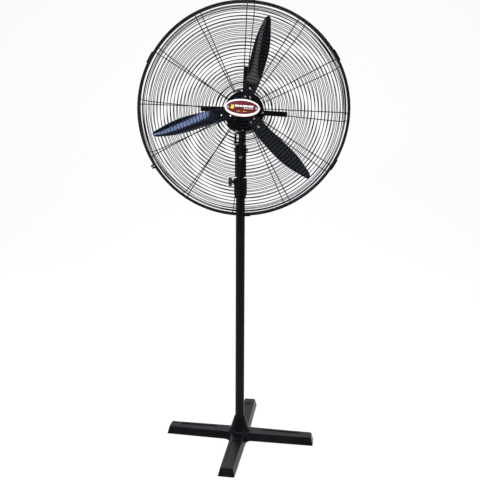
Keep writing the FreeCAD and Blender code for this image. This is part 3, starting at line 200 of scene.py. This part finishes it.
LOOK = {
    ENAMEL_CAST: "base_casting",
    POWDER: "lower_pole inner_tube neck_sleeve clamp_collar rear_cover guard_bracket",
    MOTOR: "motor_front_housing motor_rear_housing gearbox_housing gearbox_cover neck_casting",
    WIRE: "front_guard_ribs rear_guard_ribs front_guard_rings front_guard_side_rings rear_guard_rings rear_guard_side_rings rim_band guard_clips",
    BLADE: "blade_a blade_b blade_c",
    HUB: "blade_hub",
    ZINC: "blade_rivets hub_nut sleeve_screw tilt_bolt tilt_nut motor_through_bolts swing_screw case_screws rim_screw badge_screws pole_set_screws badge_clamp_plate",
    STEEL: "motor_shaft front_bearing rear_bearing",
    CORE: "stator_core rotor_core",
    GEAR: "clutch_shaft crank link_rod output_gear",
    COPPER: "stator_windings",
    BRONZE: "swing_bush",
    RUBBER: "base_feet",
    PLASTIC: "clamp_handle speed_knob speed_switch oscillation_knob cable_gland",
    NYLON: "pole_bush tube_guide clamp_pad worm_wheel",
    CAP: "capacitor",
    CAP.copy(): "badge",
}
for mat, names in LOOK.items():
    for n in names.split():
        o = NODES[n]
        o.data.materials.clear()
        o.data.materials.append(mat)


# ------------------------------------------------------------------- meshes
def mesh_piece(name, bm, mats, body, smooth_angle=None):
    me = bpy.data.meshes.new(name)
    bmesh.ops.recalc_face_normals(bm, faces=bm.faces)
    bm.to_mesh(me)
    bm.free()
    for m in mats:
        me.materials.append(m)
    for p in me.polygons:
        p.use_smooth = True
    if smooth_angle is not None:
        me.set_sharp_from_angle(angle=math.radians(smooth_angle))
    o = bpy.data.objects.new(name, me)
    bpy.context.scene.collection.objects.link(o)
    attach(o, body)
    return o


def curve_at(table, x):
    """Smooth values between the table's rows (x first in each row)."""
    n = len(table)
    i = 0
    while i < n - 2 and x > table[i + 1][0]:
        i += 1
    a, b = table[i], table[i + 1]
    h = b[0] - a[0]
    u = (x - a[0]) / h
    out = []
    for k in range(1, len(a)):
        def slope(j):
            if j == 0:
                return (table[1][k] - table[0][k]) / (table[1][0] - table[0][0])
            if j == n - 1:
                return (table[-1][k] - table[-2][k]) / (table[-1][0] - table[-2][0])
            return (table[j + 1][k] - table[j - 1][k]) / (table[j + 1][0] - table[j - 1][0])
        m0, m1 = slope(i) * h, slope(i + 1) * h
        out.append((2 * u ** 3 - 3 * u ** 2 + 1) * a[k] + (u ** 3 - 2 * u ** 2 + u) * m0 + (-2 * u ** 3 + 3 * u ** 2) * b[k] + (u ** 3 - u ** 2) * m1)
    return out


# radius, reach ahead, reach behind, pitch, camber: as the CAD's blades
BLADE_ROWS = [(46, 17, 16, 28, 0.06), (58, 21.5, 20, 28, 0.06), (70, 23.5, 23, 28, 0.06), (82, 24, 25.5, 28, 0.06), (94, 24, 27.5, 28, 0.06), (106, 23.5, 29.5, 28, 0.06), (124, 23.8, 31.5, 27.5, 1.0), (150, 25, 33, 26.5, 3.0), (190, 27, 34.8, 24.5, 4.8), (230, 28, 34.8, 22.5, 5.4), (262, 27.5, 32, 21.3, 5.0), (300, 23.5, 24.5, 20, 4.0), (330, 18, 16.5, 19, 2.8), (352, 13, 10.8, 18.3, 1.8), (366, 6, 6, 18, 0.8)]


def blade(name, angle, node):
    """A pressed blade: cambered, twisted, with rounded corners and a soft edge."""
    bm = bmesh.new()
    across, off, half_t = 22, 2.5 + 1.25 + 0.2, 1.2
    r0, r1 = 46.2, 363.8
    n_r = 96
    loops = []
    for i in range(n_r + 1):
        u = i / n_r
        # stations crowd together at both ends so that the corners are round
        r = r0 + (r1 - r0) * (0.5 - 0.5 * math.cos(math.pi * u)) if True else 0
        ahead, behind, pitch, camber = curve_at(BLADE_ROWS, r)
        close = 1.0
        if r > r1 - 9:
            close = math.sqrt(max(0.0, 1 - ((r - (r1 - 9)) / 9.0) ** 2))
        if r < r0 + 6:
            k = 1 - (r - r0) / 6.0
            ahead -= 6 * (1 - math.sqrt(max(0.0, 1 - k * k)))
            behind -= 6 * (1 - math.sqrt(max(0.0, 1 - k * k)))
        mid = (ahead - behind) / 2
        half = max(0.6, (ahead + behind) / 2 * close)
        p = math.radians(pitch)
        half, mid = half / math.cos(p), mid / math.cos(p)
        row = []
        edge = min(1.3, half * 0.45)
        for side in (1, -1):
            for j in range(across + 1):
                s = -half + 2 * half * (0.5 - 0.5 * math.cos(math.pi * j / across))
                s *= side
                d = half - abs(s)
                thick = half_t * math.sqrt(max(0.0, 1 - (1 - min(1.0, d / edge)) ** 2)) if edge > 0 else half_t
                if j in (0, across):
                    if side == -1:
                        continue
                    thick = 0.0
                lip = -camber * (1 - (s / half) ** 2)
                nn = off + lip + side * thick
                ss = s + mid
                row.append((r, ss * math.cos(p) - nn * math.sin(p), 135 + ss * math.sin(p) + nn * math.cos(p)))
        verts = []
        for x, y, f in row:
            x, y = turn(x, y, angle)
            verts.append(bm.verts.new(head(x, y, f)))
        loops.append(verts)
    n = len(loops[0])
    for a, b in zip(loops, loops[1:]):
        for j in range(n):
            bm.faces.new((a[j], a[(j + 1) % n], b[(j + 1) % n], b[j]))
    bm.faces.new(loops[0])
    bm.faces.new(list(reversed(loops[-1])))
    o = mesh_piece(name, bm, [BLADE], "rotor", 50)
    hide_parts(node)
    return o


for letter, ang in zip("abc", (74.9, 194.9, 314.9)):
    blade("blade_skin_" + letter, ang, "blade_" + letter)


# ---------------------------------------------------------------- the badge
def badge_paint(name, base, rough, coat, flake=0.0):
    m, t, b = material(name)
    v = coords(t)
    broad, fine = noise(t, v, 40, 4.0), noise(t, v, 900, 2.0)
    t.links.new(mixed(t, ramp(t, broad, [(0.35, 0.0), (0.75, 1.0)]), base, tuple(c * 0.78 for c in base)), b.inputs["Base Color"])
    t.links.new(to_range(t, broad, rough, rough + 0.08), b.inputs["Roughness"])
    b.inputs["Coat Weight"].default_value = coat
    b.inputs["Coat Roughness"].default_value = 0.08
    bumps(t, b, [fine], 0.00002)
    return m


RED = badge_paint("badge_red", (0.1, 0.0015, 0.0015), 0.3, 0.12)
CREAM = badge_paint("badge_cream", (0.86, 0.75, 0.6), 0.3, 0.4)
GOLD = badge_paint("badge_yellow", (0.82, 0.5, 0.06), 0.3, 0.4)
BACKING = badge_paint("badge_back", (0.02, 0.02, 0.02), 0.4, 0.1)


def badge_face(u, v):
    """Height of the badge's front, in mm of f, at mm u (long) and v (high)."""
    q = math.hypot(u / 64.5, v / 33.5)
    dome = 261.6 - 3.4 * (q ** 2) * 0.9
    return dome


def badge():
    bm = bmesh.new()
    rings = [(0.0, 0.0), (0.2, 0), (0.4, 0), (0.55, 0), (0.68, 0), (0.76, 0), (0.815, 0), (0.835, 0.25), (0.85, 0.75), (0.87, 1.0), (0.93, 1.05), (0.965, 0.8), (0.985, 0.2), (0.997, -0.8), (1.0, -2.0), (1.0, -3.2), (0.985, -3.6)]
    seg = 96
    rows = []
    for q, lift in rings:
        row = []
        for k in range(seg):
            a = 2 * math.pi * k / seg
            t = max(0.0, (q - 0.815) / 0.185)
            k_in = min(1.0, q / 0.815)
            u = (57.4 * k_in + 7.0 * t) * math.cos(a)
            v = (23.2 * k_in + 8.6 * t) * math.sin(a) + 1.6 * (1 - t)
            f = badge_face(u, v) + lift - 0.9
            f = max(f, 254.55)
            x, y = turn(u, v, -4)
            row.append(bm.verts.new(head(x, y, f)))
            if q == 0:
                break
        rows.append(row)
    back = []
    for k in range(seg):
        a = 2 * math.pi * k / seg
        x, y = turn(63 * math.cos(a), 30.4 * math.sin(a), -4)
        back.append(bm.verts.new(head(x, y, 254.55)))
    rows.append(back)
    for i, (a, b) in enumerate(zip(rows, rows[1:])):
        idx = 1 if 7 <= i <= 12 else (2 if i > 12 else 0)
        for k in range(seg):
            k2 = (k + 1) % seg
            fc = bm.faces.new((a[0], b[k], b[k2])) if len(a) == 1 else bm.faces.new((a[k], b[k], b[k2], a[k2]))
            fc.material_index = idx
    bm.faces.new(rows[-1]).material_index = 2
    o = mesh_piece("badge_shell", bm, [RED, CREAM, BACKING], "head", 60)
    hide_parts("badge")
    return o


def raised(name, outline, mat, lift=0.25, grid=3):
    """A thin raised mark on the badge, as a solid plate that follows its dome."""
    bm = bmesh.new()
    top, low = [], []
    for u, v in outline:
        f = badge_face(u, v) - 0.9
        x, y = turn(u, v, -4)
        top.append(bm.verts.new(head(x, y, f + lift)))
        low.append(bm.verts.new(head(x, y, f - 0.6)))
    bm.faces.new(top)
    bm.faces.new(list(reversed(low)))
    n = len(top)
    for k in range(n):
        bm.faces.new((top[k], low[k], low[(k + 1) % n], top[(k + 1) % n]))
    bmesh.ops.triangulate(bm, faces=bm.faces)
    o = mesh_piece(name, bm, [mat], "head", 30)
    return o


def bar(u0, u1, v0, v1, slant=0.0):
    """A rounded, slanted bar as an outline."""
    r = min(abs(u1 - u0), abs(v1 - v0)) * 0.28
    pts = []
    for cx, cy, a0 in ((u1 - r, v1 - r, 0), (u0 + r, v1 - r, 90), (u0 + r, v0 + r, 180), (u1 - r, v0 + r, 270)):
        for k in range(5):
            a = math.radians(a0 + 22.5 * k)
            x, y = cx + r * math.cos(a), cy + r * math.sin(a)
            pts.append((x + slant * (y - v0), y))
    return pts


badge()
# a plain decorative band of bars and a small leaf: no lettering
for i, (u0, u1) in enumerate(((-28, -12), (-10, -2), (0, 18), (20, 39))):
    raised("badge_bar_%d" % i, bar(u0, u1, 3.2, 9.4, 0.25), CREAM)
for i in range(4):
    raised("badge_dash_%d" % i, bar(6 + 9 * i, 11 + 9 * i, -3.0, 0.0, 0.25), CREAM, 0.2)
raised("badge_rule", bar(-20, 16, -13.4, -11.8, 0.0), GOLD, 0.2)
leaf = [(-45, -3), (-40, -4.6), (-31, -4.2), (-28, -2.8), (-33, -1.0), (-31.5, 4), (-31.5, 9.5), (-36, 8.6), (-40.5, 10.4), (-39.6, 5), (-41, 0)]
raised("badge_leaf", leaf, GOLD)

# ------------------------------------------------------------- the stage
# The floor: one large pale sheet that turns up far behind.
bm = bmesh.new()
profile = [(-6.0, 0.0), (3.0, 0.0)] + [(3.0 + 1.5 * math.sin(a), 1.5 - 1.5 * math.cos(a)) for a in [math.radians(9 * k) for k in range(1, 11)]] + [(4.5, 7.0)]
cols = [[bm.verts.new((x, y, z)) for y, z in profile] for x in (-8.0, 8.0)]
for i in range(len(profile) - 1):
    bm.faces.new((cols[0][i], cols[1][i], cols[1][i + 1], cols[0][i + 1]))
me = bpy.data.meshes.new("studio_floor")
bm.to_mesh(me)
bm.free()
for p in me.polygons:
    p.use_smooth = True
floor = bpy.data.objects.new("studio_floor", me)
bpy.context.scene.collection.objects.link(floor)
m, t, b = material("studio_paper")
b.inputs["Base Color"].default_value = (0.12, 0.12, 0.12, 1)
b.inputs["Roughness"].default_value = 0.9
b.inputs["Specular IOR Level"].default_value = 0.1
b.inputs["Emission Color"].default_value = (1, 1, 1, 1)
b.inputs["Emission Strength"].default_value = 0.86
me.materials.append(m)


def light(name, at, target, size, power, colour=(1, 1, 1)):
    d = bpy.data.lights.new(name, "AREA")
    d.shape = "RECTANGLE"
    d.size, d.size_y = size
    d.energy = power
    d.color = colour
    o = bpy.data.objects.new(name, d)
    o.location = at
    o.rotation_euler = (Vector(target) - Vector(at)).to_track_quat("-Z", "Y").to_euler()
    bpy.context.scene.collection.objects.link(o)
    return o


light("key", (-2.6, -3.0, 3.4), (0, 0, 1.2), (1.4, 1.4), 110)
light("fill", (3.2, -2.4, 2.2), (0, 0, 1.0), (1.2, 2.0), 60)
light("sky_side", (-3.4, -0.6, 1.6), (0, -0.1, 1.35), (1.6, 2.2), 30, (0.55, 0.66, 1.0))
light("window", (-0.72, -1.24, 2.36), (-0.25, -0.14, 1.32), (0.62, 0.5), 44, (0.42, 0.56, 1.0))
light("top", (0, 0.6, 4.2), (0, 0, 0), (3.5, 3.5), 90)
light("back", (0.4, 3.0, 3.2), (0, 0, 1.2), (2.4, 1.6), 60)
w = bpy.data.worlds.new("studio")
bpy.context.scene.world = w
w.use_nodes = True
w.node_tree.nodes["Background"].inputs["Color"].default_value = (1, 1, 1, 1)
w.node_tree.nodes["Background"].inputs["Strength"].default_value = 0.35

# ------------------------------------------------------------- the camera
PHI, THETA, RHO = math.radians(2.1), math.radians(5.68), math.radians(0.2)
DIST, HIGH, FOCAL = 2.327, 1.224, 562.9
forward = Vector((-math.sin(PHI) * math.cos(THETA), math.cos(PHI) * math.cos(THETA), -math.sin(THETA)))
right = Vector((math.cos(PHI), math.sin(PHI), 0))
up = right.cross(forward)
r2 = right * math.cos(RHO) + up * math.sin(RHO)
u2 = up * math.cos(RHO) - right * math.sin(RHO)
cam_data = bpy.data.cameras.new("camera")
cam = bpy.data.objects.new("camera", cam_data)
bpy.context.scene.collection.objects.link(cam)
rot = Matrix((r2, u2, -forward)).transposed().to_4x4()
cam.matrix_world = Matrix.Translation((math.sin(PHI) * DIST, -math.cos(PHI) * DIST, HIGH)) @ rot
cam_data.sensor_width = 36.0
cam_data.lens = FOCAL / 480.0 * 36.0
cam_data.shift_x = -0.4 / 480.0
cam_data.shift_y = -31.9 / 480.0
cam_data.clip_start, cam_data.clip_end = 0.05, 60.0
bpy.context.scene.camera = cam
bpy.context.scene.view_settings.view_transform = "Standard"
